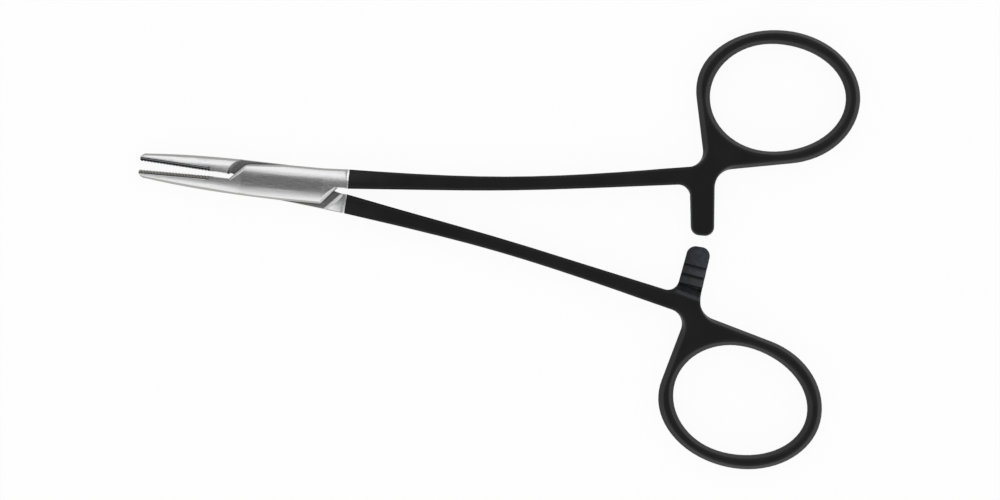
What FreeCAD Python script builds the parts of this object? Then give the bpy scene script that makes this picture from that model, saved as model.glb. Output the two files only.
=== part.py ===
import FreeCAD, Part
import math
import os
from FreeCAD import Placement, Rotation, Vector

# Needle holder: two forged steel halves that cross in a box lock, a pivot pin and two jaw inserts.
# Sizes in millimetres, angles in degrees. X runs from the jaws to the rings along the line of the
# closed jaws, Y goes across and Z is up. The origin is on the pivot axis, in the plane it rests on.
# Each half is drawn about its middle plane with the jaws closed, its jaw below the X axis and its
# handle above it. The waist half is then turned over, and each half is swung open about the pivot.

# Pose in which it lies
jaw_opening = 3.3

# Jaws
jaw_length = 30.7
jaw_nose_face = 0.95
jaw_nose_length = 1.5
jaw_nose_depth = 1.78
jaw_nose_swell = 0.245
jaw_front_depth = 2.5
jaw_middle_depth = 3.12
jaw_root_depth = 3.48
jaw_root = 9.0
jaw_relief = 0.08
jaw_tip_thickness = 2.4
jaw_front_thickness = 3.5
jaw_middle_thickness = 4.4
jaw_tip_flat = 0.5
jaw_tip_drop = 0.45
edge_bevel_width = 0.2
edge_points = 13

# Hard metal inserts with their cross teeth
insert_length = 14.9
insert_thickness = 0.85
insert_tooth_pitch = 0.67
insert_tooth_depth = 0.3
insert_gap = 0.02

# Waist that passes through the box, with an arm each way to where the steel is full again
waist_thickness = 2.2
waist_radius = 3.8
waist_arm_reach = 12.25
waist_arm_offset = 0.45
waist_arm_angle = 11.0
waist_side_gap = 0.06
waist_end_gap = 0.2
waist_wall_gap = 0.15

# Box with its two cheeks. Setbacks run along X, from the ends of the waist's arms to the pivot
box_half_width = 3.75
box_thickness = 5.2
box_flat = 0.6
box_drop = 0.8
box_front_setback = 3.85
box_front_half_width = 3.04
box_back_setback = 4.15
box_shoulder_radius = 2.5
box_heel_radius = 0.8
front_notch_setback = 0.75
back_notch_setback = 1.15
notch_drop = 0.2
cheek_bevel = 0.32

# Shoulders of the waist half, in front of the box and behind it
shoulder_middle_setback = 0.7
shoulder_middle_y = 2.05
shoulder_end_setback = 2.45
shoulder_heel_setback = 3.35
shoulder_draft = 0.6
shoulder_bevel = 0.65
shoulder_bevel_depth = 0.35

# Pivot pin
pin_radius = 1.5
pin_running_gap = 0.05
pin_seat_gap = 0.01

# Bare steel root of each shank, up to the coating
root_length = 1.25
root_overlap = 0.5
root_half_width = 4.6
root_thickness = 4.1
box_root_drop = 1.2
waist_root_drop = 0.55

# Shanks: length, offsets of the centre line from the X axis, and widths. Runs are measured along X,
# from the end of the shank to the neck, the arm and the middle of the ring. A splayed shank also
# bows out, by so much for each degree of its splay
shank_length = 66.5
shank_offsets = (1.97, 2.85, 4.12, 6.15, 8.65)
shank_start_width = 4.05
shank_middle_width = 2.9
shank_end_width = 3.5
shank_bevel = 0.4
shank_blend = 10.0
shank_blend_drop = 0.05
shank_bow = 0.17
handle_thickness = 4.0
handle_edge_band = 0.6
lower_handle_splay = 2.1

# Finger rings: an oval hole of four quarter ellipses, and the band around it
ring_run = 20.8
ring_y = 27.35
ring_tilt = 3.85
ring_front_reach = 13.1
ring_back_reach = 15.6
ring_half_width = 11.35
ring_band = 3.0
ring_low_band = 2.4
ring_side_bevel = 1.1
ring_end_bevel = 0.85
outer_shift_x = 1.7
outer_shift_y = 0.8
outer_tilt = -1.86
ring_splay_share = 1.5
oval_points = 24

# Neck between shank, ring and ratchet arm
neck_run = 8.3
neck_y = 10.5
neck_radius = 3.2
heel_radius = 4.0
neck_bevel = 1.0

# Ratchet arms
arm_run = 8.85
arm_tip_y = -3.0
arm_tip_width = 4.85
arm_root_width = 5.2
arm_length = 9.0
arm_lean = 0.1
arm_tip_radius = 1.9
arm_root_radius = 2.4
arm_bevel = 0.35
ratchet_gap = 0.1
ratchet_pad = 4.1
ratchet_pitch = 2.1
ratchet_depth = 0.8
ratchet_count = 3
ratchet_land = 0.55
tooth_slant = 0.15
ramp_run = 2.4
ramp_turn = 12.0

middle = box_thickness / 2
half_handle = handle_thickness / 2
tall = 2 * box_thickness
seat_end = insert_length - jaw_length
box_front = waist_arm_reach - box_front_setback
box_back = waist_arm_reach - box_back_setback
front_notch = waist_arm_reach - front_notch_setback
back_notch = waist_arm_reach - back_notch_setback
shoulder_middle_x = waist_arm_reach - shoulder_middle_setback
shoulder_end_x = waist_arm_reach - shoulder_end_setback
shoulder_heel_x = waist_arm_reach - shoulder_heel_setback
root_end = waist_arm_reach + root_length
shank_end = root_end + shank_length
neck_x = shank_end + neck_run
arm_x = shank_end + arm_run
ring_x = shank_end + ring_run


# Plan points and curves

def at(point, z=0.0):
    return Vector(point[0], point[1], z)


def line(start, end, z=0.0):
    return Part.makeLine(at(start, z), at(end, z))


def arc(start, through, end, z=0.0):
    return Part.Arc(at(start, z), at(through, z), at(end, z)).toShape()


def spline(points, z=0.0):
    curve = Part.BSplineCurve()
    curve.interpolate([at(point, z) for point in points])
    return curve.toShape()


def unit(start, end):
    length = math.dist(start, end)
    return ((end[0] - start[0]) / length, (end[1] - start[1]) / length)


def crossing(a, b, c, d):
    """Point where the endless line through a and b meets the one through c and d."""
    run_a = (b[0] - a[0], b[1] - a[1])
    run_c = (d[0] - c[0], d[1] - c[1])
    across = run_a[0] * run_c[1] - run_a[1] * run_c[0]
    share = ((c[0] - a[0]) * run_c[1] - (c[1] - a[1]) * run_c[0]) / across
    return (a[0] + share * run_a[0], a[1] + share * run_a[1])


def rounding(before, corner, after, radius):
    """Start, middle and end of the arc that rounds a corner."""
    back = unit(corner, before)
    on = unit(corner, after)
    half = math.acos(back[0] * on[0] + back[1] * on[1]) / 2
    run = radius / math.tan(half)
    first = (corner[0] + back[0] * run, corner[1] + back[1] * run)
    last = (corner[0] + on[0] * run, corner[1] + on[1] * run)
    inward = unit((0, 0), (back[0] + on[0], back[1] + on[1]))
    reach = radius / math.sin(half) - radius
    return first, (corner[0] + inward[0] * reach, corner[1] + inward[1] * reach), last


def polygon(corners):
    """Face from corners (x, y) or, where the corner is round, (x, y, radius)."""
    stops = []
    for index, corner in enumerate(corners):
        point = corner[:2]
        if len(corner) == 2:
            stops.append((point, None, point))
        else:
            before = corners[index - 1][:2]
            after = corners[(index + 1) % len(corners)][:2]
            stops.append(rounding(before, point, after, corner[2]))
    edges = []
    for index, (first, through, last) in enumerate(stops):
        edges.append(line(stops[index - 1][2], first))
        if through:
            edges.append(arc(first, through, last))
    return Part.Face(Part.Wire(edges))


def prism(face, low, high):
    """Solid over a plan face, between two heights."""
    base = face.copy()
    base.translate(Vector(0, 0, low))
    return base.extrude(Vector(0, 0, high - low))


# Crowned body that both steel parts are cut from, from the jaw tips to the coating

def crown_section(x, half_width, thickness, flat, drop):
    """Section across the steel: a narrow flat, rounded down to the sides by the drop."""
    high = thickness / 2
    run = half_width - flat
    radius = (run * run + drop * drop) / (2 * drop)
    turn = math.asin(run / radius)
    start = (flat, high)
    through = (flat + radius * math.sin(turn / 2), high - radius * (1 - math.cos(turn / 2)))
    end = (half_width, high - drop)
    far = (half_width + box_half_width, high - drop)

    def corner(point, right, up):
        return Vector(x, right * point[0], up * point[1])

    edges = []
    for right, up in ((1, 1), (1, -1), (-1, -1), (-1, 1)):
        s, t, e, f = [corner(point, right, up) for point in (start, through, end, far)]
        if right == up:
            edges.append(Part.makeLine(corner(start, -right, up), s))
            edges += [Part.Arc(s, t, e).toShape(), Part.makeLine(e, f)]
        else:
            edges.append(Part.makeLine(corner(far, right, -up), f))
            edges += [Part.makeLine(f, e), Part.Arc(e, t, s).toShape()]
    return Part.Wire(edges)


def crown_body(root_drop):
    before_tip = -jaw_length - jaw_nose_length
    taper = [
        crown_section(before_tip, jaw_nose_depth, jaw_tip_thickness, jaw_tip_flat, jaw_tip_drop),
        crown_section(seat_end - insert_length / 2, jaw_front_depth, jaw_front_thickness,
                      (jaw_tip_flat + box_flat) / 2, (jaw_tip_drop + box_drop) / 2),
        crown_section(seat_end, jaw_middle_depth, jaw_middle_thickness, box_flat, box_drop),
        crown_section(-jaw_root, box_half_width, box_thickness, box_flat, box_drop)]
    box = [
        taper[-1],
        crown_section(box_back, box_half_width, box_thickness, box_flat, box_drop),
        crown_section(root_end, root_half_width, root_thickness, box_flat, root_drop)]
    return Part.makeLoft(taper, True, False).fuse(Part.makeLoft(box, True, True))


def shank_blend_cutter(crown, root_drop):
    """Cutter that carries the crown on into the flat of the shank, fading out along it."""
    start = root_end - root_overlap
    end = root_end + shank_blend
    thick = handle_thickness + 2 * shank_blend_drop
    faded = Part.makeLoft([
        crown_section(root_end, root_half_width, root_thickness, box_flat, root_drop),
        crown_section(end, root_half_width, thick, box_flat, shank_blend_drop)], True, True)
    deep = root_half_width + box_half_width
    room = Part.makeBox(end - start, 2 * deep, 2 * tall, Vector(start, -deep, -tall))
    return room.cut(faded).cut(crown)


def height_over(crown, point):
    """Height of the crowned body above its middle plane, over a plan point."""
    return Part.makeLine(at(point), at(point, tall)).common(crown).Length


def cut_bevels(steel, crown, run, width, depth):
    """Bevel the front and back edges of the wall over a run of points, with the metal on its right."""
    far = 3 * width
    rise = 3 * depth
    for side in (1, -1):
        profiles = []
        for index, (x, y) in enumerate(run):
            along = unit(run[max(index - 1, 0)], run[min(index + 1, len(run) - 1)])
            low = height_over(crown, (x, y)) - depth
            profile = [(far, low - rise), (-far, low + rise), (far, low + rise)]
            points = [Vector(x - along[1] * left, y + along[0] * left, side * z) for left, z in profile]
            profiles.append(Part.makePolygon(points + points[:1]))
        steel = steel.cut(Part.makeLoft(profiles, True, True))
    return steel


# Jaws and inserts

def jaw_edge():
    """Points of the jaw's outer edge, from the nose to the middle of the box."""
    return [
        (jaw_nose_length - jaw_length, -jaw_nose_depth),
        (seat_end - insert_length / 2, -jaw_front_depth),
        (seat_end, -jaw_middle_depth),
        (-jaw_root, -jaw_root_depth),
        (0, -box_half_width)]


def jaw_nose():
    """Start, middle and end of the arc that rounds the nose into the outer edge."""
    start, end = (-jaw_length, -jaw_nose_face), jaw_edge()[0]
    along = unit(start, end)
    centre = ((start[0] + end[0]) / 2 + jaw_nose_swell * along[1],
              (start[1] + end[1]) / 2 - jaw_nose_swell * along[0])
    return start, centre, end


def jaw_plan(back):
    """One jaw without its insert, closed behind by the given points."""
    edge = jaw_edge()
    nose = jaw_nose()
    seat = [(seat_end, -jaw_relief), (seat_end, -insert_thickness), (-jaw_length, -insert_thickness)]
    around = edge[-1:] + back + seat + [nose[0]]
    edges = [arc(*nose), spline(edge)]
    edges += [line(start, end) for start, end in zip(around, around[1:])]
    return Part.Face(Part.Wire(edges))


def jaw_run():
    """Points along the jaw's outer edge and round its nose, from the middle of the box."""
    edge = spline(jaw_edge()).discretize(edge_points)
    nose = arc(*jaw_nose()).discretize(edge_points // 2)
    return [(point.x, point.y) for point in edge[::-1] + nose[::-1][1:]]


def jaw_insert(crown):
    """Plate with a row of cross teeth, flush with the sides of the jaw."""
    count = round(insert_length / insert_tooth_pitch)
    pitch = insert_length / count
    points = [(-jaw_length, -insert_thickness), (seat_end, -insert_thickness)]
    for index in range(count):
        crest = seat_end - index * pitch
        points.append((crest, -insert_gap))
        points.append((crest - pitch / 2, -insert_gap - insert_tooth_depth))
    points.append((-jaw_length, -insert_gap))
    return prism(polygon(points), -tall, tall).common(crown)


# Waist, and the slot that it turns in

def waist_arm(gap):
    """Line along the waist's arm on its closed side, moved out by a gap."""
    slope = math.tan(math.radians(waist_arm_angle))
    lift = gap / math.cos(math.radians(waist_arm_angle)) - waist_arm_offset
    inner = waist_radius / 2
    return [(-waist_arm_reach, lift), (-inner, lift + (waist_arm_reach - inner) * slope)]


def opposite(points):
    """The same points, half a turn round the pivot."""
    return [(-x, -y) for x, y in points]


def slot():
    """Room between the cheeks for the waist, at every opening up to the end of its travel."""
    half = waist_thickness / 2 + waist_side_gap
    deep = waist_radius + box_half_width
    wall = [(x, -y) for x, y in waist_arm(waist_wall_gap)]
    start = (-deep - waist_arm_reach, crossing(wall[0], wall[1], (-deep - waist_arm_reach, 0),
                                              (-deep - waist_arm_reach, 1))[1])
    side = [start, wall[1], (0, 0), (0, deep), (start[0], deep)]
    room = Part.makeCylinder(waist_radius + waist_end_gap, 2 * half, Vector(0, 0, -half))
    for corners in (side, opposite(side)):
        room = room.fuse(prism(polygon(corners), -half, half))
    return room


def waist(splay):
    """Thin middle of the waist half: a round hub with an arm to the jaw and one to the shank."""
    half = waist_thickness / 2
    jaw_side = [(0, 0), (0, -waist_radius), (-shoulder_end_x, -jaw_root_depth),
                (-waist_arm_reach, -shoulder_middle_y)] + waist_arm(0)
    shank_side = [(0, 0), (0, waist_radius), root_corner(splay, 1), root_corner(splay, -1)]
    shank_side += opposite(waist_arm(0))
    body = Part.makeCylinder(waist_radius, waist_thickness, Vector(0, 0, -half))
    for corners in (jaw_side, shank_side):
        body = body.fuse(prism(polygon(corners), -half, half))
    return body


# Shanks

def shank_centre(splay):
    start = root_end - root_overlap
    step = (shank_end - start) / (len(shank_offsets) - 1)
    lean = math.tan(math.radians(splay))
    points = []
    for index, offset in enumerate(shank_offsets):
        x = start + index * step
        share = index / (len(shank_offsets) - 1)
        bow = 4 * share * (1 - share) * shank_bow * splay
        points.append((x, offset + x * lean + bow))
    return points


def shank_width(x):
    """Width across the shank, a smooth curve through its widths at start, middle and end."""
    centre = (root_end + shank_end) / 2
    share = (x - centre) / (shank_end - centre)
    slope = (shank_end_width - shank_start_width) / 2
    bow = (shank_end_width + shank_start_width) / 2 - shank_middle_width
    return shank_middle_width + slope * share + bow * share * share


def shank_side(splay, inset, side):
    """Points along one side of the shank, 1 for its outer side and -1 for its inner side."""
    centre = shank_centre(splay)
    points = []
    for index, (x, y) in enumerate(centre):
        along = unit(centre[max(index - 1, 0)], centre[min(index + 1, len(centre) - 1)])
        reach = side * (shank_width(x) / 2 - inset)
        points.append((x - along[1] * reach, y + along[0] * reach))
    return points


def root_corner(splay, side):
    """Corner of the bare root where the coating starts."""
    points = shank_side(splay, 0, side)
    return crossing(points[0], points[1], (root_end, 0), (root_end, 1))


# Ring ovals

def ring_point(oval, angle):
    """Point of an oval and its direction there. The oval is a centre, a tilt and four reaches."""
    (x, y), tilt, front, back, low, high = oval
    wide = back if math.cos(angle) > 0 else front
    deep = high if math.sin(angle) > 0 else low
    local = (wide * math.cos(angle), deep * math.sin(angle))
    run = (-wide * math.sin(angle), deep * math.cos(angle))
    cos, sin = math.cos(tilt), math.sin(tilt)
    point = (x + local[0] * cos - local[1] * sin, y + local[0] * sin + local[1] * cos)
    return point, (run[0] * cos - run[1] * sin, run[0] * sin + run[1] * cos)


def tangent_angle(oval, foot, start, end):
    """Angle on the oval, between two angles, at which a line from the foot touches it."""
    def side(angle):
        (x, y), (dx, dy) = ring_point(oval, angle)
        return (x - foot[0]) * dy - (y - foot[1]) * dx

    for _ in range(50):
        centre = (start + end) / 2
        if side(start) * side(centre) > 0:
            start = centre
        else:
            end = centre
    return start


def ring_centre(splay):
    return (ring_x, ring_y + ring_x * math.tan(math.radians(splay)))


def hole_oval(splay, bevel_side, bevel_end):
    tilt = math.radians(ring_tilt + ring_splay_share * splay)
    front = ring_front_reach + bevel_side
    back = ring_back_reach + bevel_side
    deep = ring_half_width + bevel_end
    return (ring_centre(splay), tilt, front, back, deep, deep)


def outer_oval(splay, bevel_side, bevel_end):
    x, y = ring_centre(splay)
    centre = (x + outer_shift_x, y + outer_shift_y)
    tilt = math.radians(outer_tilt + ring_splay_share * splay)
    front = ring_front_reach + ring_band + outer_shift_x - bevel_side
    back = ring_back_reach + ring_band - outer_shift_x - bevel_side
    low = ring_half_width + ring_low_band + outer_shift_y - bevel_end
    high = ring_half_width + ring_band - outer_shift_y - bevel_end
    return (centre, tilt, front, back, low, high)


def hole_wire(splay, z, sloped, _narrowed):
    oval = hole_oval(splay, sloped * ring_side_bevel, sloped * ring_end_bevel)
    points = [ring_point(oval, 2 * math.pi * index / oval_points)[0] for index in range(oval_points)]
    curve = Part.BSplineCurve()
    curve.interpolate([at(point, z) for point in points], PeriodicFlag=True)
    return Part.Wire([curve.toShape()])


# Handle: shank, neck, ring and ratchet arm in one outline

def arm_side(splay, inset, side, depth):
    """Point on one side of the arm at a depth up from its tip."""
    y = arm_tip_y + arm_x * math.tan(math.radians(splay)) + depth
    width = arm_tip_width + (arm_root_width - arm_tip_width) * depth / arm_length
    return (arm_x - arm_lean * depth + side * (width / 2 - inset), y)


def handle_wire(splay, z, sloped, narrowed):
    """Outline of the handle at a height. Two shares from 0 to 1 draw it in: sloped is that of the
    wide bevels of ring and neck, and narrowed that of the narrow bevels of shank and arm."""
    shank_in = narrowed * shank_bevel
    arm_in = narrowed * arm_bevel
    neck_in = sloped * neck_bevel
    outer = shank_side(splay, shank_in, 1)
    inner = shank_side(splay, shank_in, -1)
    left_tip, left_root = [arm_side(splay, arm_in, -1, depth) for depth in (arm_in, arm_length)]
    right_tip, right_root = [arm_side(splay, arm_in, 1, depth) for depth in (arm_in, arm_length)]

    oval = outer_oval(splay, sloped * ring_side_bevel, sloped * ring_end_bevel)
    foot = (neck_x + neck_in, neck_y + neck_x * math.tan(math.radians(splay)) + neck_in)
    first = tangent_angle(oval, foot, math.pi, 1.5 * math.pi)
    last = tangent_angle(oval, foot, -0.5 * math.pi, 0)
    step = (last - first) / oval_points
    ring = [ring_point(oval, first + step * index)[0] for index in range(oval_points + 1)]

    neck_corner = crossing(outer[-2], outer[-1], foot, ring[0])
    heel_corner = crossing(right_tip, right_root, foot, ring[-1])
    arm_corner = crossing(left_tip, left_root, inner[-2], inner[-1])
    neck = rounding(outer[-1], neck_corner, ring[0], neck_radius + neck_in)
    heel = rounding(ring[-1], heel_corner, right_tip, heel_radius + neck_in)
    tip_right = rounding(right_root, right_tip, left_tip, arm_tip_radius - arm_in)
    tip_left = rounding(right_tip, left_tip, left_root, arm_tip_radius - arm_in)
    arm_root = rounding(left_tip, arm_corner, inner[-1], arm_root_radius + arm_in)

    edges = [spline(outer, z), line(outer[-1], neck[0], z), arc(*neck, z), line(neck[2], ring[0], z),
             spline(ring, z), line(ring[-1], heel[0], z), arc(*heel, z), line(heel[2], tip_right[0], z),
             arc(*tip_right, z), line(tip_right[2], tip_left[0], z), arc(*tip_left, z),
             line(tip_left[2], arm_root[0], z), arc(*arm_root, z), line(arm_root[2], inner[-1], z),
             spline(inner[::-1], z), line(inner[0], outer[0], z)]
    return Part.Wire(edges)


def bevelled_body(wire, splay):
    """Solid between outlines. Ring and neck slope in from the upright band at the middle, while
    shank and arm stand upright up to their narrow bevel."""
    band = handle_edge_band / 2
    knee = half_handle - shank_bevel
    upper = [(band, 0, 0), (knee, (knee - band) / (half_handle - band), 0), (half_handle, 1, 1)]
    lower = [(-z, sloped, narrowed) for z, sloped, narrowed in reversed(upper)]
    return Part.makeLoft([wire(splay, *level) for level in lower + upper], True, True)


def ratchet_teeth(splay):
    """Cutter for the underside of the arm: pad, teeth, and the land in front of the ramp."""
    high = ratchet_gap / 2
    profile = [(-arm_length, -tall), (-arm_length, high), (ratchet_pad, high)]
    for index in range(ratchet_count):
        start = ratchet_pad + index * ratchet_pitch
        profile.append((start + tooth_slant, high + ratchet_depth))
        if index < ratchet_count - 1:
            profile.append((start + ratchet_pitch, high))
    land_end = ratchet_pad + (ratchet_count - 1) * ratchet_pitch + ratchet_land
    profile += [(land_end, high + ratchet_depth), (land_end, -tall)]
    return arm_cutter(splay, profile, math.degrees(math.atan(arm_lean)))


def ratchet_ramp(splay):
    """Cutter for the hollow ramp from the arm to the full thickness of the handle."""
    high = ratchet_gap / 2 + ratchet_depth
    start = ratchet_pad + (ratchet_count - 1) * ratchet_pitch + ratchet_land / 2
    end = start + ramp_run
    return arm_cutter(splay, [(start, -tall), (start, high), (end, -half_handle), (end, -tall)], ramp_turn)


def arm_cutter(splay, profile, turn):
    """Profile over the arm, given as depths up from its tip and heights, run across the arm."""
    tip = Vector(arm_x, arm_tip_y + arm_x * math.tan(math.radians(splay)), 0)
    points = [Vector(-arm_length, depth, z) for depth, z in profile]
    cutter = Part.Face(Part.makePolygon(points + points[:1])).extrude(Vector(2 * arm_length, 0, 0))
    cutter.Placement = Placement(tip, Rotation(Vector(0, 0, 1), turn))
    return cutter


def handle(splay, crown, root_drop):
    body = bevelled_body(handle_wire, splay).cut(bevelled_body(hole_wire, splay))
    body = body.cut(shank_blend_cutter(crown, root_drop))
    return body.cut(ratchet_teeth(splay)).cut(ratchet_ramp(splay))


# The two halves

def box_half():
    """Jaw, cheeks around the slot, and handle."""
    crown = crown_body(box_root_drop)
    jaw = jaw_plan([(0, -jaw_relief), (-front_notch, -notch_drop)])
    cheeks = polygon([
        (-front_notch, -notch_drop),
        (-box_front, box_front_half_width, box_shoulder_radius),
        (0, box_half_width),
        (box_back, box_half_width),
        root_corner(0, 1),
        root_corner(0, -1),
        (front_notch, 0),
        (back_notch, -notch_drop, box_heel_radius),
        (box_back, -box_half_width, box_heel_radius),
        (0, -box_half_width),
        (-jaw_root, -jaw_root_depth / 2)])
    steel = prism(jaw, -tall, tall).fuse(prism(cheeks, -tall, tall)).common(crown)
    front = [(-front_notch, -notch_drop), (-box_front, box_front_half_width)]
    back = [(back_notch, -notch_drop), (box_back, -box_half_width)]
    top = front[1:] + [(0, box_half_width), (box_back, box_half_width), root_corner(0, 1)]
    for run in (front, back):
        steel = cut_bevels(steel, crown, run, cheek_bevel, cheek_bevel)
    for run in (top, back[1:] + jaw_run()):
        steel = cut_bevels(steel, crown, run, edge_bevel_width, edge_bevel_width)
    hole = Part.makeCylinder(pin_radius + pin_seat_gap, 2 * tall, Vector(0, 0, -tall))
    return steel.fuse(handle(0, crown, box_root_drop)).cut(slot()).cut(hole)


def behind_shoulder(z, drafted):
    """Outline, at a height, of the room behind the jaw's shoulder. Drafted is 1 at the foot of the
    shoulder's wall and 0 at its top."""
    shift = drafted * shoulder_draft
    shoulder = [(shift - waist_arm_reach, -waist_arm_offset),
                (shift - shoulder_middle_x, -shoulder_middle_y),
                (shift - shoulder_end_x, -jaw_root_depth)]
    deep = 2 * box_half_width
    outline = shoulder[2:] + [(shift - shoulder_end_x, -deep), (deep, -deep), (deep, deep),
                              (shift - waist_arm_reach, deep)] + shoulder[:1]
    edges = [line(start, end, z) for start, end in zip(outline, outline[1:])]
    return Part.Wire([arc(*shoulder, z)] + edges)


def waist_half():
    """Jaw up to its shoulder, waist, and handle from its shoulder."""
    splay = lower_handle_splay
    crown = crown_body(waist_root_drop)
    foot = waist_thickness / 2
    levels = [(-tall, 0), (-middle, 0), (-foot, 1), (foot, 1), (middle, 0), (tall, 0)]
    room = Part.makeLoft([behind_shoulder(*level) for level in levels], True, True)
    jaw = prism(jaw_plan([(0, -jaw_relief)]), -tall, tall).cut(room)

    outer, inner = root_corner(splay, 1), root_corner(splay, -1)
    heel = crossing((0, waist_radius), outer, (shoulder_heel_x, 0), (shoulder_heel_x, 1))
    toe = (waist_arm_reach, waist_arm_offset)
    root = prism(polygon([heel, outer, inner, toe]), -tall, tall)
    steel = cut_bevels(jaw.fuse(root).common(crown), crown, [toe, heel], shoulder_bevel, shoulder_bevel_depth)
    for run in ([heel, outer], jaw_run()):
        steel = cut_bevels(steel, crown, run, edge_bevel_width, edge_bevel_width)
    steel = steel.fuse(waist(splay)).fuse(handle(splay, crown, waist_root_drop))
    return steel.cut(Part.makeCylinder(pin_radius + pin_running_gap, 2 * tall, Vector(0, 0, -tall)))


def place(shape, turned_over, swing):
    """Put a half in place: turned over or not, swung open, and lifted onto the resting plane."""
    over = Rotation(Vector(1, 0, 0), 180 if turned_over else 0)
    swung = Rotation(Vector(0, 0, 1), swing)
    placed = shape.copy()
    placed.Placement = Placement(Vector(0, 0, middle), swung.multiply(over))
    return placed


def build():
    crown = crown_body(box_root_drop)
    pin = Part.makeCylinder(pin_radius, box_thickness, Vector(0, 0, -middle)).common(crown)
    plate = jaw_insert(crown)
    swing = jaw_opening / 2
    return {
        "box_half": place(box_half(), False, swing),
        "waist_half": place(waist_half(), True, -swing),
        "pivot_pin": place(pin, False, swing),
        "lower_jaw_insert": place(plate, False, swing),
        "upper_jaw_insert": place(plate, True, -swing)}


os.makedirs("parts", exist_ok=True)
for name, shape in build().items():
    shape.exportStep("parts/" + name + ".step")
    print(name, len(shape.Solids), shape.isValid(), round(shape.Volume, 2))
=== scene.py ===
# %% [markdown]
# # A needle holder on a white sheet
# A needle holder is a small pair of locking pliers that a surgeon sews with. Two forged steel
# halves cross in a box lock: one half has a slot between two cheeks, and the waist of the other
# half turns in it about a flush pin. The bare steel is satin, the handles are coated matte black,
# and the jaws carry plates of dark hard metal with fine teeth.
#
# The engineered solids come in first. They hold every size, so nothing here moves them.

import math

import bmesh
import bpy
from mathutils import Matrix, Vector


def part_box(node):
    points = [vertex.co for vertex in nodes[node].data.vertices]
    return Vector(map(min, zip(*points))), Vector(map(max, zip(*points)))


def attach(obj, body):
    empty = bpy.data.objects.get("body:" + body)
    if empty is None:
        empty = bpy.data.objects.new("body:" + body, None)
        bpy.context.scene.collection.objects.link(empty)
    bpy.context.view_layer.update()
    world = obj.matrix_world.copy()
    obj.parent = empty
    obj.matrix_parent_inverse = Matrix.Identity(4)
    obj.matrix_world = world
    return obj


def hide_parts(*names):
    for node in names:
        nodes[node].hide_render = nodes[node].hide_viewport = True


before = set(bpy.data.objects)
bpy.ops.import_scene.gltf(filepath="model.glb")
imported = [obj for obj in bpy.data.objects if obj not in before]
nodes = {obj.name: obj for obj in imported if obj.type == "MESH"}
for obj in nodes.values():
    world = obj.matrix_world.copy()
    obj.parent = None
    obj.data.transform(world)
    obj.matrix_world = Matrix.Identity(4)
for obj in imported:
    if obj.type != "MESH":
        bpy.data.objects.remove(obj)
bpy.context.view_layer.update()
print("pieces of the model:", sorted(nodes))

# %% [markdown]
# ## Sizes that the looks depend on
# Blender measures in metres, so a millimetre is a small number with a name. Both halves were drawn
# with the jaws closed and then swung open by half of the opening each. So a pattern is drawn with
# the jaws closed too, and swung with its piece.

# %%
# Named sizes
MM = 0.001
JAW_OPENING = math.radians(3.3)
BOX_SWING = JAW_OPENING / 2
WAIST_SWING = -JAW_OPENING / 2
MIDDLE_HEIGHT = 2.6 * MM
print("each half is swung open by", round(math.degrees(BOX_SWING), 2), "degrees")

# %% [markdown]
# ## Helpers for materials
# A material is a small graph of nodes. These helpers add a node and set its sockets in one line,
# so that each finish below reads as a list of what it is made of.

# %%
# Start a material, and add a node to it
def new_material(name):
    material = bpy.data.materials.new(name)
    material.use_nodes = True
    return material, material.node_tree, material.node_tree.nodes["Principled BSDF"]


def set_socket(tree, socket, value):
    """Link the socket where the value comes from another node, and write it there otherwise."""
    if isinstance(value, bpy.types.NodeSocket):
        tree.links.new(value, socket)
    else:
        socket.default_value = value


def add_node(tree, kind, inputs=None, **settings):
    node = tree.nodes.new(kind)
    for key, value in settings.items():
        setattr(node, key, value)
    for key, value in (inputs or {}).items():
        set_socket(tree, node.inputs[key], value)
    return node

# %%
# Arithmetic and mixing
# A Mix node has sockets for each kind of value: the numbers of its two inputs and of its output
MIX_SOCKETS = {"FLOAT": (2, 3, 0), "VECTOR": (4, 5, 1), "RGBA": (6, 7, 2)}


def calculate(tree, operation, *values, clamp=False):
    node = add_node(tree, "ShaderNodeMath", dict(enumerate(values)), operation=operation,
                    use_clamp=clamp)
    return node.outputs[0]


def vector_math(tree, operation, *values):
    node = add_node(tree, "ShaderNodeVectorMath", dict(enumerate(values)), operation=operation)
    return node.outputs


def mix(tree, kind, share, first, second):
    node = add_node(tree, "ShaderNodeMix", data_type=kind)
    start, end, result = MIX_SOCKETS[kind]
    for number, value in ((0, share), (start, first), (end, second)):
        set_socket(tree, node.inputs[number], value)
    return node.outputs[result]


def remap(tree, value, low_in, high_in, low_out=0, high_out=1, smooth=False):
    node = add_node(tree, "ShaderNodeMapRange", {
        "Value": value, "From Min": low_in, "From Max": high_in,
        "To Min": low_out, "To Max": high_out},
        interpolation_type="SMOOTHSTEP" if smooth else "LINEAR")
    return node.outputs["Result"]

# %%
# Places and patterns on a piece
def axis_of(tree, vector, axis):
    return add_node(tree, "ShaderNodeSeparateXYZ", {"Vector": vector}).outputs[axis]


def object_point(tree, turn, stretch=(1, 1, 1)):
    """Place on the piece, turned about Z and stretched, read from its own coordinates."""
    place = add_node(tree, "ShaderNodeTexCoord").outputs["Object"]
    return add_node(tree, "ShaderNodeMapping", {
        "Vector": place, "Rotation": (0, 0, turn), "Scale": stretch}).outputs["Vector"]


def facing(tree, axis):
    """How squarely the surface faces along an axis of the piece, either way, from 0 to 1."""
    normal = add_node(tree, "ShaderNodeTexCoord").outputs["Normal"]
    return calculate(tree, "ABSOLUTE", axis_of(tree, normal, axis))


def away_from(tree, value, goal):
    return calculate(tree, "ABSOLUTE", calculate(tree, "SUBTRACT", value, goal))


def noise(tree, place, scale, detail=4.0, roughness=0.5):
    return add_node(tree, "ShaderNodeTexNoise", {
        "Vector": place, "Scale": scale, "Detail": detail, "Roughness": roughness}).outputs["Fac"]


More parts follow.
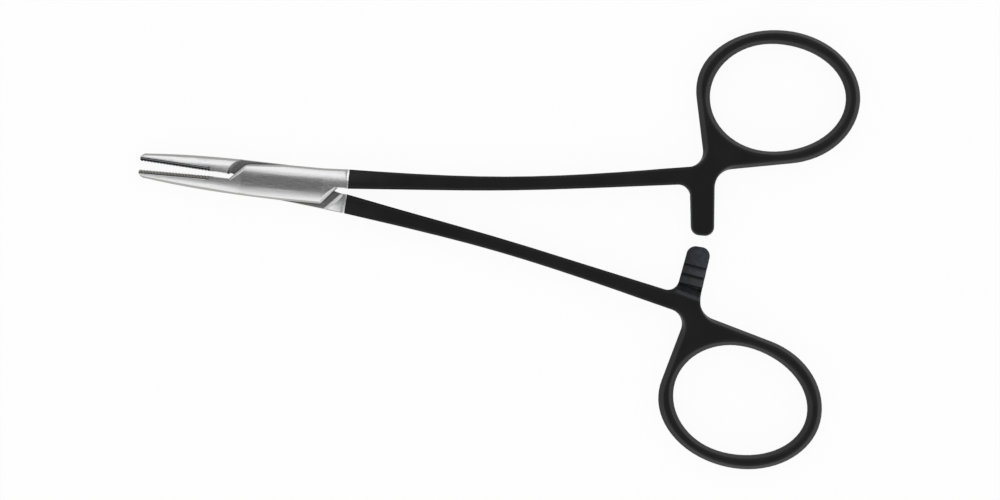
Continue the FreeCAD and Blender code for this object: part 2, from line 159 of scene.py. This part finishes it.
def open_sky(tree, reach):
    """How much of the sky a spot sees: near 0 deep in a corner, and 1 on an open face."""
    node = add_node(tree, "ShaderNodeAmbientOcclusion", {"Distance": reach}, samples=6)
    return node.outputs["AO"]

# %% [markdown]
# ## Satin steel
# The bare steel is brushed along its length. A picture of brushed metal would have to be wrapped
# round each half, so noise that is stretched along the half makes the grain instead. It varies the
# colour and the roughness. The narrow sides are painted darker, a painted shade that outlines the
# steel with a darker line, and painted shade darkens the corners of the box lock, where little
# light reaches.

# %%
# Colour and grain of the bare steel, with painted shade for its sides and corners
STEEL_COLOR = (0.71, 0.71, 0.71, 1)
STEEL_DARK = (0.63, 0.63, 0.635, 1)
STEEL_ROUGHNESS = (0.20, 0.29)
GRAIN_SCALE = 420.0
GRAIN_STRETCH = (1, 22, 22)
SIDE_SHADE_COLOR = (0.41, 0.41, 0.40, 1)
SIDE_FACING = (0.52, 0.66)
RECESS_SHADE_COLOR = (0.12, 0.12, 0.125, 1)
RECESS_REACH = 1.5 * MM
RECESS_SKY = (0.35, 0.95)


def brushed_steel(tree, swing, sky_share):
    """Colour and grain, with painted shade in the corners and on the sides."""
    brushed = object_point(tree, -swing, stretch=GRAIN_STRETCH)
    grain = noise(tree, brushed, GRAIN_SCALE, detail=6.0, roughness=0.6)
    color = mix(tree, "RGBA", remap(tree, grain, 0.35, 0.65), STEEL_DARK, STEEL_COLOR)
    # Painted shade: the steel is painted darker where the sky is hidden, in the corners of the box
    # lock
    color = mix(tree, "RGBA", remap(tree, sky_share, *RECESS_SKY), RECESS_SHADE_COLOR, color)
    # Painted shade: the narrow sides that face across the half are painted darker
    sides = remap(tree, facing(tree, "Y"), *SIDE_FACING, smooth=True)
    return mix(tree, "RGBA", sides, color, SIDE_SHADE_COLOR), grain

# %% [markdown]
# ## Matte black coating
# The handles wear a thin matte film. It could be one flat black, but a real film has a fine speckle
# that breaks up its gloss, and wide faint clouds, so two noises of very different size are mixed.
# The film ends at a masked edge across each half, where a narrow line of brighter steel shows.

# %%
# Film, and where it ends
COATING_COLOR = (0.0070, 0.0070, 0.0072, 1)
COATING_CLOUD = (0.0100, 0.0100, 0.0104, 1)
COATING_ROUGHNESS = (0.34, 0.44)
COATING_GLOSS = 0.20
CLOUD_SCALE = 160.0
SPECKLE_SCALE = 5200.0
COATING_START = 13.5 * MM
EDGE_WAVE = 0.04 * MM
EDGE_WAVE_SCALE = 900.0
EDGE_BLUR = 0.03 * MM
LINE_COLOR = (0.80, 0.80, 0.80, 1)
LINE_WIDTH = 0.32 * MM
LINE_BLUR = 0.05 * MM


def matte_film(tree, place):
    """Colour and speckle of the film."""
    speckle = noise(tree, place, SPECKLE_SCALE, detail=2.0)
    cloud = noise(tree, place, CLOUD_SCALE, detail=3.0)
    return mix(tree, "RGBA", remap(tree, cloud, 0.4, 0.7), COATING_COLOR, COATING_CLOUD), speckle


def film_edge(tree, place):
    """Where the film lies, and where the bright line beside it begins."""
    wave = remap(tree, noise(tree, place, EDGE_WAVE_SCALE), 0.3, 0.7, -EDGE_WAVE, EDGE_WAVE)
    along = calculate(tree, "ADD", axis_of(tree, place, "X"), wave)
    coated = remap(tree, along, COATING_START - EDGE_BLUR, COATING_START + EDGE_BLUR, smooth=True)
    line_start = COATING_START - LINE_WIDTH
    return coated, remap(tree, along, line_start - LINE_BLUR, line_start, smooth=True)

# %% [markdown]
# ## Worn ratchet teeth
# The ratchet teeth rub on each other each time the instrument is locked, so their film is polished
# to a bluish grey. The wear could be painted by hand, but it follows from place: only surfaces near
# the middle plane, on the arm that carries the teeth, are worn. The worn film is brighter towards
# the side away from the jaws, and up the ramp beside the teeth it is painted brighter as a painted
# highlight.

# %%
# Where the film on the ratchet is worn
ARM_MIDDLE = 88.6 * MM
ARM_HALF_WIDTH = 3.0 * MM
ARM_HALF_LENGTH = 5.6 * MM
BOX_ARM_Y = 2.5 * MM
WAIST_ARM_Y = -5.7 * MM
WEAR_FADE = 1.0 * MM
RAMP_LEVEL = 1.80 * MM
FACE_LEVEL = 1.96 * MM
WORN_FACING = (0.5, 0.8)


def worn_area(tree, place, arm_y):
    """1 on the teeth and on the ramp beside them, and 0 elsewhere."""
    share = remap(tree, facing(tree, "Z"), *WORN_FACING, smooth=True)
    for axis, goal, full, end in (
            ("X", ARM_MIDDLE, ARM_HALF_WIDTH, ARM_HALF_WIDTH + WEAR_FADE),
            ("Y", arm_y, ARM_HALF_LENGTH, ARM_HALF_LENGTH + WEAR_FADE),
            ("Z", MIDDLE_HEIGHT, RAMP_LEVEL, FACE_LEVEL)):
        distance = away_from(tree, axis_of(tree, place, axis), goal)
        limit = remap(tree, distance, full, end, 1, 0, smooth=True)
        share = calculate(tree, "MULTIPLY", share, limit)
    return share

# %%
# Colour of the worn film: brighter across the arm, painted brighter up the ramp as a painted
# highlight, scuffed, and black at the roots
WORN_AND_HIGHLIT_COLOR = (0.085, 0.096, 0.115, 1)
WORN_FAINT = (0.016, 0.018, 0.021, 1)
ACROSS_BRIGHTENING = 0.4
TOOTH_LEVEL = 0.88 * MM
RAMP_HIGHLIGHT_RISE = 0.25 * MM
SCUFF_SCALE = 1100.0
SCUFF_SHARE = 0.12
ROOT_SKY = (0.25, 0.60)


def worn_film_and_highlight(tree, place, sky_share):
    across = remap(tree, axis_of(tree, place, "X"), ARM_MIDDLE - ARM_HALF_WIDTH,
                   ARM_MIDDLE + ARM_HALF_WIDTH, 0, ACROSS_BRIGHTENING)
    level = away_from(tree, axis_of(tree, place, "Z"), MIDDLE_HEIGHT)
    # Painted highlight: the worn film is painted brighter up the ramp
    up = remap(tree, level, TOOTH_LEVEL, TOOTH_LEVEL + RAMP_HIGHLIGHT_RISE)
    scuffs = remap(tree, noise(tree, place, SCUFF_SCALE), 0.3, 0.7, -SCUFF_SHARE, SCUFF_SHARE)
    bright = calculate(tree, "ADD", calculate(tree, "MAXIMUM", across, up), scuffs, clamp=True)
    rubbed_and_highlit = mix(tree, "RGBA", bright, WORN_FAINT, WORN_AND_HIGHLIT_COLOR)
    return mix(tree, "RGBA", remap(tree, sky_share, *ROOT_SKY), COATING_COLOR, rubbed_and_highlit)

# %% [markdown]
# ## Rounded edges
# No real edge is sharp, so each one takes the light in a soft line. The solids could be bevelled,
# but their mesh is kept as it is, and a Bevel node bends only the shading near each edge. The edges
# of the steel are crisp, and those of the shanks and finger rings are wide. The pin is ground flush
# and polished over with the box, and the inserts are brazed in flush, so the pin's rim and the back
# ends of the seats are left out of that.

# %%
# How round an edge looks, and where it stays sharp
STEEL_EDGE = 0.25 * MM
SHANK_EDGE = 0.60 * MM
RING_EDGE = 0.95 * MM
RING_START = 92.0 * MM
RING_BLEND = 6 * MM
PIN_RADIUS = 1.5 * MM
PLATE_BACK = -15.8 * MM
SEAT_RADIUS = 0.95 * MM


def edge_radius(tree, place, coated, worn):
    """Small on steel and on the teeth, wider on the shanks and widest on the rings."""
    handle = remap(tree, axis_of(tree, place, "X"), RING_START, RING_START + RING_BLEND,
                   SHANK_EDGE, RING_EDGE, smooth=True)
    handle = mix(tree, "FLOAT", worn, handle, STEEL_EDGE)
    return mix(tree, "FLOAT", coated, STEEL_EDGE, handle)


def away_from_joints(tree, place):
    """0 at the pin and at the back end of the seat, and 1 elsewhere."""
    flat = vector_math(tree, "MULTIPLY", place, (1, 1, 0))["Vector"]
    from_pin = vector_math(tree, "LENGTH", flat)["Value"]
    from_seat = vector_math(tree, "DISTANCE", flat, (PLATE_BACK, 0, 0))["Value"]
    beyond_pin = remap(tree, from_pin, PIN_RADIUS + 2 * STEEL_EDGE,
                       PIN_RADIUS + 4 * STEEL_EDGE, smooth=True)
    beyond_seat = remap(tree, from_seat, SEAT_RADIUS, SEAT_RADIUS + STEEL_EDGE, smooth=True)
    return calculate(tree, "MULTIPLY", beyond_pin, beyond_seat)

# %%
# Shading of the surface, with the grain or the speckle as a shallow bump over it
BUMP_STRENGTH = 0.15
BUMP_DEPTH = 0.01 * MM


def soft_normal(tree, place, radius, bumps):
    rounded = add_node(tree, "ShaderNodeBevel", {"Radius": radius}, samples=8).outputs["Normal"]
    sharp = add_node(tree, "ShaderNodeNewGeometry").outputs["Normal"]
    softened = mix(tree, "VECTOR", away_from_joints(tree, place), sharp, rounded)
    return add_node(tree, "ShaderNodeBump", {
        "Height": bumps, "Strength": BUMP_STRENGTH, "Distance": BUMP_DEPTH,
        "Normal": softened}).outputs["Normal"]

# %% [markdown]
# ## Finish of the two halves and the pin
# Each half is one forging, so cutting it into a steel and a black piece would be wrong. One
# material covers it and changes from steel to film at the film's edge. Each half gets its own,
# because the halves are swung opposite ways, and the pin turns with the box.

# %%
# Material of one half
def coated_steel(name, swing, arm_y):
    """Steel up to the film's edge and black beyond it, on a half that is swung open."""
    material, tree, shader = new_material(name)
    place = object_point(tree, -swing)
    sky_share = open_sky(tree, RECESS_REACH)
    coated, lined = film_edge(tree, place)
    steel, grain = brushed_steel(tree, swing, sky_share)
    steel = mix(tree, "RGBA", lined, steel, LINE_COLOR)
    black, speckle = matte_film(tree, place)
    worn = worn_area(tree, place, arm_y)
    black = mix(tree, "RGBA", worn, black, worn_film_and_highlight(tree, place, sky_share))

    steel_rough = remap(tree, grain, 0.3, 0.7, *STEEL_ROUGHNESS)
    black_rough = remap(tree, speckle, 0.3, 0.7, *COATING_ROUGHNESS)
    radius = edge_radius(tree, place, coated, worn)
    bumps = mix(tree, "FLOAT", coated, grain, speckle)
    for socket, value in {
            "Base Color": mix(tree, "RGBA", coated, steel, black),
            "Metallic": calculate(tree, "SUBTRACT", 1.0, coated),
            "Roughness": mix(tree, "FLOAT", coated, steel_rough, black_rough),
            "Specular IOR Level": COATING_GLOSS,
            "Normal": soft_normal(tree, place, radius, bumps)}.items():
        set_socket(tree, shader.inputs[socket], value)
    return material

# %%
# Dress the solids
finishes = {
    "box_half": coated_steel("box_half_steel", BOX_SWING, BOX_ARM_Y),
    "waist_half": coated_steel("waist_half_steel", WAIST_SWING, WAIST_ARM_Y),
    "pivot_pin": coated_steel("pin_steel", BOX_SWING, BOX_ARM_Y)}
for name, material in finishes.items():
    node = nodes[name]
    if node.data.materials:
        node.data.materials[0] = material
    else:
        node.data.materials.append(material)
print("dressed:", ", ".join(finishes))

# %% [markdown]
# ## Jaw inserts
# Each jaw is faced with a thin plate of hard metal, brazed in flush with the steel. Its grip is cut
# by crossing grooves into rows of tiny pyramids, which the solid model only shows as a zigzag. A
# displacement map would blur points this small, and cutting dozens of grooves is slow. So a plate
# is cut from a block, its grip is divided into squares, and poking a square lifts its middle into a
# pyramid. One plate is made with the jaws closed, and a copy turned over serves the other jaw.

# %%
# Named sizes of a plate, along, across and high, with the jaws closed
PLATE_FRONT = -30.7 * MM
PLATE_OUTER = -0.85 * MM
PLATE_GRIP = -0.32 * MM
PLATE_FRONT_HEIGHT = 2.56 * MM
PLATE_BACK_HEIGHT = 4.38 * MM
PLATE_BEVEL = 0.07 * MM
TOOTH_HEIGHT = 0.30 * MM
TEETH_ALONG = 22
TEETH_ACROSS = 6
print("length of a tooth, mm:", round((PLATE_BACK - PLATE_FRONT) / TEETH_ALONG / MM, 3))

# %%
# Choose parts of a mesh in edit mode
SAME_PLACE = 0.001 * MM


def pick(piece, kind, wanted):
    """Select the vertices, edges or faces that pass a test, and nothing else."""
    bpy.ops.mesh.select_mode(type=kind)
    bpy.ops.mesh.select_all(action="DESELECT")
    mesh = bmesh.from_edit_mesh(piece.data)
    parts = {"VERT": mesh.verts, "EDGE": mesh.edges, "FACE": mesh.faces}[kind]
    chosen = [part for part in parts if wanted(part)]
    for part in chosen:
        part.select_set(True)
    mesh.select_flush_mode()
    bmesh.update_edit_mesh(piece.data)
    return len(chosen)


def near(value, goal):
    return abs(value - goal) < SAME_PLACE


def in_plane(edge, y):
    return all(near(vert.co.y, y) for vert in edge.verts)


def runs_along(edge, axis):
    run = edge.verts[1].co - edge.verts[0].co
    return abs(run.normalized()[axis]) > 0.9

# %%
# Blank plate: a block that is thinner towards the tip, with bevels where it meets the jaw
bpy.ops.object.select_all(action="DESELECT")
plate_middle = Vector(((PLATE_FRONT + PLATE_BACK) / 2, (PLATE_OUTER + PLATE_GRIP) / 2, 0))
bpy.ops.mesh.primitive_cube_add(size=1, location=plate_middle, scale=(
    PLATE_BACK - PLATE_FRONT, PLATE_GRIP - PLATE_OUTER, PLATE_BACK_HEIGHT))
lower_plate = bpy.context.object
lower_plate.name = "lower_insert"
bpy.ops.object.transform_apply(location=True, rotation=True, scale=True)
bpy.ops.object.mode_set(mode="EDIT")
pick(lower_plate, "VERT", lambda vert: near(vert.co.x, PLATE_FRONT))
bpy.ops.transform.resize(value=(1, 1, PLATE_FRONT_HEIGHT / PLATE_BACK_HEIGHT),
                         center_override=plate_middle)
count = pick(lower_plate, "EDGE",
             lambda edge: in_plane(edge, PLATE_OUTER) and runs_along(edge, 0))
bpy.ops.mesh.bevel(offset=PLATE_BEVEL, offset_type="OFFSET", segments=1)
print("edges of the blank plate that are bevelled:", count)

# %%
# Grip: divide it both ways, then raise each square into a pyramid
pick(lower_plate, "EDGE", lambda edge: in_plane(edge, PLATE_GRIP) and runs_along(edge, 0))
bpy.ops.mesh.subdivide(number_cuts=TEETH_ALONG - 1)
pick(lower_plate, "EDGE", lambda edge: in_plane(edge, PLATE_GRIP) and runs_along(edge, 2))
bpy.ops.mesh.subdivide(number_cuts=TEETH_ACROSS - 1)
count = pick(lower_plate, "FACE", lambda face: face.normal.y > 0.9)
bpy.ops.mesh.poke(offset=TOOTH_HEIGHT, use_relative_offset=False, center_mode="MEDIAN")
bpy.ops.mesh.select_all(action="SELECT")
bpy.ops.mesh.normals_make_consistent(inside=False)
bpy.ops.object.mode_set(mode="OBJECT")
print("teeth of one plate:", count)

# %% [markdown]
# ## Hard metal of the inserts
# The plates are sintered tungsten carbide: darker than steel, a little brown, with a matte grain. A
# dark line of braze runs along the joint with the jaw. Where the grooves between the teeth run out
# over the edge, their shade is painted as dark notches, one to each tooth. Cutting the notches too
# would double the mesh, so a cosine along the plate draws them, and painted shade darkens the
# grooves between the pyramids. The two plates are one metal: the warm tint and light teeth of the
# lower plate are painted light, and the cool tint and nearly black teeth of the upper are painted
# shade.

# %%
# Painted shade of notches where the grooves run out
NOTCH_REACH = (0.12 * MM, 0.24 * MM)


def painted_notch_shade(tree, place, away):
    """1 in each painted notch of shade and 0 between them."""
    turns = 2 * math.pi * TEETH_ALONG / (PLATE_BACK - PLATE_FRONT)
    phase = calculate(tree, "MULTIPLY_ADD", axis_of(tree, place, "X"), turns,
                      -turns * PLATE_FRONT)
    wave = remap(tree, calculate(tree, "COSINE", phase), 0.0, 0.8)
    near_teeth = remap(tree, away, *(reach - PLATE_GRIP for reach in NOTCH_REACH), 1, 0)
    return calculate(tree, "MULTIPLY", wave, near_teeth)

# %%
# Material of a plate, whose braze colour also serves as its painted shade
BRAZE_AND_SHADE_COLOR = (0.035, 0.03, 0.027, 1)
BRAZE_START = 0.60 * MM
BRAZE_END = 0.76 * MM
INSERT_ROUGHNESS = (0.38, 0.50)
SINTER_SCALE = 4200.0
TOOTH_BLUR = 0.06 * MM
GROOVE_REACH = 0.5 * MM
GROOVE_SKY = (0.3, 0.9)


def insert_metal(name, swing, dull, bright, painted_tooth_tone, tooth_end):
    """Grainy metal between a braze line and teeth in painted light and shade, on a plate swung
    open.
    """
    material, tree, shader = new_material(name)
    place = object_point(tree, -swing)
    away = calculate(tree, "ABSOLUTE", axis_of(tree, place, "Y"))
    grain = noise(tree, place, SINTER_SCALE, detail=3.0)
    metal = mix(tree, "RGBA", remap(tree, grain, 0.35, 0.65), dull, bright)
    # Painted light and shade on the teeth: the band next to the grip takes the painted tooth tone
    teeth = remap(tree, away, tooth_end - TOOTH_BLUR, tooth_end + TOOTH_BLUR, 1, 0, smooth=True)
    metal = mix(tree, "RGBA", teeth, metal, painted_tooth_tone)
    # Painted shade: dark notches where the grooves would run out over the edge
    metal = mix(tree, "RGBA", painted_notch_shade(tree, place, away), metal, BRAZE_AND_SHADE_COLOR)
    braze = remap(tree, away, BRAZE_START, BRAZE_END, smooth=True)
    metal = mix(tree, "RGBA", braze, metal, BRAZE_AND_SHADE_COLOR)
    # Painted shade: the metal is painted darker where little sky reaches, between the teeth
    shade = remap(tree, open_sky(tree, GROOVE_REACH), *GROOVE_SKY)
    metal = mix(tree, "RGBA", shade, BRAZE_AND_SHADE_COLOR, metal)
    set_socket(tree, shader.inputs["Base Color"], metal)
    rough = remap(tree, grain, 0.3, 0.7, *INSERT_ROUGHNESS)
    set_socket(tree, shader.inputs["Roughness"], rough)
    shader.inputs["Metallic"].default_value = 1.0
    return material


# One metal in two copies: the lower plate's warm tint and light teeth are painted light, and the
# upper plate's cool tint and black teeth are painted shade
warm_metal = insert_metal(
    "lower_insert_metal", BOX_SWING, dull=(0.20, 0.19, 0.17, 1), bright=(0.30, 0.29, 0.27, 1),
    painted_tooth_tone=(0.42, 0.41, 0.39, 1), tooth_end=0.46 * MM)
cool_metal = insert_metal(
    "upper_insert_metal", WAIST_SWING, dull=(0.26, 0.28, 0.30, 1), bright=(0.36, 0.38, 0.41, 1),
    painted_tooth_tone=(0.010, 0.010, 0.012, 1), tooth_end=0.52 * MM)
print("metals of the plates:", warm_metal.name, "and", cool_metal.name)

# %% [markdown]
# ## Seat the plates
# A plate is brazed into its jaw, so it moves with it. Each plate takes the place of its solid and
# is named to the body that carries it. Its swing and its height go into its mesh, so that the
# object itself stays at the origin, as the solids do, and the patterns stay in line with it.

# %%
# Seat both plates in their jaws
def seat_plate(plate, node, body, turned_over, swing, material):
    bpy.ops.object.select_all(action="DESELECT")
    plate.select_set(True)
    bpy.context.view_layer.objects.active = plate
    plate.rotation_euler = (math.pi if turned_over else 0, 0, swing)
    plate.location = (0, 0, MIDDLE_HEIGHT)
    bpy.ops.object.transform_apply(location=True, rotation=True, scale=True)
    plate.data.materials.append(material)
    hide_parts(node)
    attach(plate, body)
    low, high = [[round(value / MM, 2) for value in corner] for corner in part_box(node)]
    print(node, "from", low, "to", high, "is now", plate.name)


upper_plate = lower_plate.copy()
upper_plate.data = lower_plate.data.copy()
upper_plate.name = "upper_insert"
bpy.context.scene.collection.objects.link(upper_plate)
seat_plate(lower_plate, "lower_jaw_insert", "box_body", False, BOX_SWING, warm_metal)
seat_plate(upper_plate, "upper_jaw_insert", "waist_body", True, WAIST_SWING, cool_metal)

# %% [markdown]
# ## White sheet
# The instrument lies on a plain white sheet. Lighting a sheet until it is pure white would burn out
# the steel as well, so the sheet glows only where the camera or a reflection sees it, and it still
# takes the instrument's shadow in part.

# %%
# Sheet under the instrument
SHEET_SIZE = 6.0
SHEET_MIDDLE = (0.05, 0, 0)
SHEET_COLOR = (0.94, 0.94, 0.94, 1)
SHEET_GLOW = 0.94
bpy.ops.object.select_all(action="DESELECT")
bpy.ops.mesh.primitive_plane_add(size=SHEET_SIZE, location=SHEET_MIDDLE)
sheet = bpy.context.object
sheet.name = "white_sheet"
sheet_material, sheet_tree, sheet_shader = new_material("white_sheet")
sheet_shader.inputs["Base Color"].default_value = SHEET_COLOR
sheet_shader.inputs["Roughness"].default_value = 0.9
sheet_shader.inputs["Specular IOR Level"].default_value = 0.0
path = add_node(sheet_tree, "ShaderNodeLightPath").outputs
seen = calculate(sheet_tree, "MAXIMUM", path["Is Camera Ray"], path["Is Glossy Ray"])
seen = calculate(sheet_tree, "MAXIMUM", seen, path["Is Transmission Ray"])
share = calculate(sheet_tree, "MULTIPLY", seen, SHEET_GLOW)
glow = add_node(sheet_tree, "ShaderNodeEmission", {"Color": (1, 1, 1, 1), "Strength": 1.0})
mixed = add_node(sheet_tree, "ShaderNodeMixShader", {
    0: share, 1: sheet_shader.outputs[0], 2: glow.outputs[0]})
set_socket(sheet_tree, sheet_tree.nodes["Material Output"].inputs["Surface"], mixed.outputs[0])
sheet.data.materials.append(sheet_material)
print("sheet:", SHEET_SIZE, "m wide")

# %% [markdown]
# ## Sky
# Satin steel shows what is above it. Under an even white sky its flat faces would be as bright as
# its rounded ones, so the sky is dim straight above and white towards the horizon, which makes the
# flat of the box grey. It is a little brighter on the right than on the left.

# %%
# Sky by height and side
SKY_STOPS = ((0.82, 1.0), (0.93, 0.55), (0.985, 0.16))
RIGHT_SKY = 1.1
LEFT_SKY = 0.75
SKY_STRENGTH = 0.95
world = bpy.context.scene.world or bpy.data.worlds.new("studio")
bpy.context.scene.world = world
world.use_nodes = True
sky = world.node_tree
direction = add_node(sky, "ShaderNodeTexCoord").outputs["Generated"]
ramp = add_node(sky, "ShaderNodeValToRGB", {"Fac": axis_of(sky, direction, "Z")})
ramp.color_ramp.interpolation = "EASE"
stops = ramp.color_ramp.elements
stops.remove(stops[1])
for index, (height, level) in enumerate(SKY_STOPS):
    stop = stops.new(height) if index else stops[0]
    stop.position, stop.color = height, (level, level, level, 1)
balance = remap(sky, axis_of(sky, direction, "Y"), -0.9, 0.9, RIGHT_SKY, LEFT_SKY)
shaded = add_node(sky, "ShaderNodeVectorMath", {0: ramp.outputs["Color"], "Scale": balance},
                  operation="SCALE").outputs["Vector"]
set_socket(sky, sky.nodes["Background"].inputs["Color"], shaded)
sky.nodes["Background"].inputs["Strength"].default_value = SKY_STRENGTH
print("sky, height and level:", SKY_STOPS)

# %% [markdown]
# ## Lamps
# Two long soft lamps beside the instrument light the rounded sides of the steel, as strip lights do
# in a studio. They are long so that their reflection runs the whole length of a shank.

# %%
# Soft lamps beside the instrument: place, and power in watts
LAMP_LENGTH = 1.6
LAMP_WIDTH = 0.40
LAMPS = {
    "left_lamp": ((0.05, 0.53, 0.82), 1.3),
    "right_lamp": ((0.05, -0.67, 0.71), 0.5)}
for name, (place, power) in LAMPS.items():
    lamp_data = bpy.data.lights.new(name, "AREA")
    lamp_data.shape = "RECTANGLE"
    lamp_data.size = LAMP_LENGTH
    lamp_data.size_y = LAMP_WIDTH
    lamp_data.energy = power
    lamp = bpy.data.objects.new(name, lamp_data)
    bpy.context.scene.collection.objects.link(lamp)
    lamp.location = place
    aim = Vector(SHEET_MIDDLE) - Vector(place)
    lamp.rotation_euler = aim.to_track_quat("-Z", "Y").to_euler()
    print(name, "at", place, "m with", power, "W")

# %% [markdown]
# ## Camera
# The camera looks straight down, and is turned so that the instrument lies as in the photograph. It
# stands well back with a long lens, because a near camera would spread the rings apart.

# %%
# Camera straight above
VIEW_TURN = math.radians(6.95)
VIEW_MIDDLE = (46.9 * MM, -8.6 * MM)
VIEW_HEIGHT = 900 * MM
VIEW_WIDTH = 211 * MM
lens_data = bpy.data.cameras.new("camera")
lens_data.sensor_width = 36.0
lens_data.lens = lens_data.sensor_width * VIEW_HEIGHT / VIEW_WIDTH
lens_data.clip_start = 0.01
camera = bpy.data.objects.new("camera", lens_data)
bpy.context.scene.collection.objects.link(camera)
camera.location = (*VIEW_MIDDLE, MIDDLE_HEIGHT + VIEW_HEIGHT)
camera.rotation_euler = (0, 0, VIEW_TURN)
bpy.context.scene.camera = camera
bpy.context.scene.view_settings.view_transform = "Standard"
print("camera sees", round(VIEW_WIDTH / MM), "mm across")
